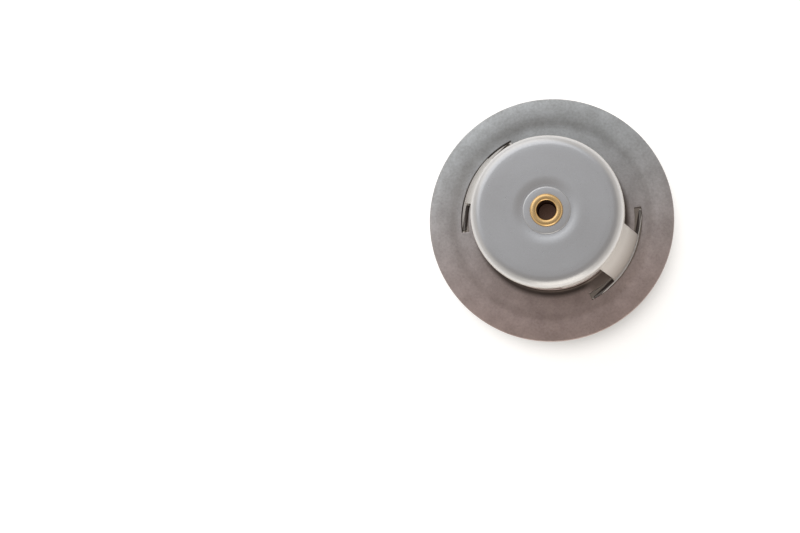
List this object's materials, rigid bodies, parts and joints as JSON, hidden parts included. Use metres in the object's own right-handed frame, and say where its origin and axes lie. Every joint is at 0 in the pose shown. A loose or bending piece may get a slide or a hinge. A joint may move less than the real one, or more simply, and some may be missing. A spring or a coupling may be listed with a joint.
{
  "type": "engine thermostat",
  "caption": "Wax element engine thermostat: flanged valve plate under a drawn steel bridge, spring loaded main valve in a lower cage and a sprung bypass disc.",
  "frame": {"origin": "on the thermostat's axis, in the plane of the underside of the flange rim", "axes": "+Z along the axis, out of the crown of the bridge (radiator side); +X through one leg of the bridge, +Y through one side window"},
  "size_m": [0.067, 0.067, 0.052],
  "materials": {
    "flange_steel": "matt tumbled pressed steel with faint turning rings",
    "bridge_steel": "satin deep drawn stainless steel",
    "valve_steel": "satin pressed stainless steel",
    "spring_steel": "drawn stainless wire",
    "pin_steel": "ground and polished",
    "brass": "turned brass, satin",
    "rubber": "matt black moulded rubber",
    "white_plastic": "white low friction plastic",
    "wax": "wax filled with copper powder"
  },
  "bodies": {
    "frame": {"flange_plate": "flange_steel", "upper_bridge": "bridge_steel", "piston_ferrule": "brass", "piston": "pin_steel", "rubber_plug": "rubber", "backing_washer": "white_plastic", "lower_cage": "valve_steel", "main_spring": "spring_steel"},
    "valve": {"element_guide": "brass", "diaphragm": "rubber", "element_cup": "brass", "wax_charge": "wax", "main_valve_plate": "valve_steel", "bypass_spring": "spring_steel", "bypass_clip": "spring_steel"},
    "bypass": {"bypass_disc": "valve_steel"}
  },
  "joints": [
    {"name": "valve_lift", "type": "slide", "parent": "frame", "child": "valve", "axis": [0, 0, -1], "range_m": [0, 0.007], "stiffness_N_per_m": 3760, "springref_m": -0.012, "deforming": ["main_spring"]},
    {"name": "bypass_slide", "type": "slide", "parent": "valve", "child": "bypass", "axis": [0, 0, 1], "range_m": [0, 0.0028], "stiffness_N_per_m": 3260, "springref_m": -0.002, "deforming": ["bypass_spring"]}
  ]
}
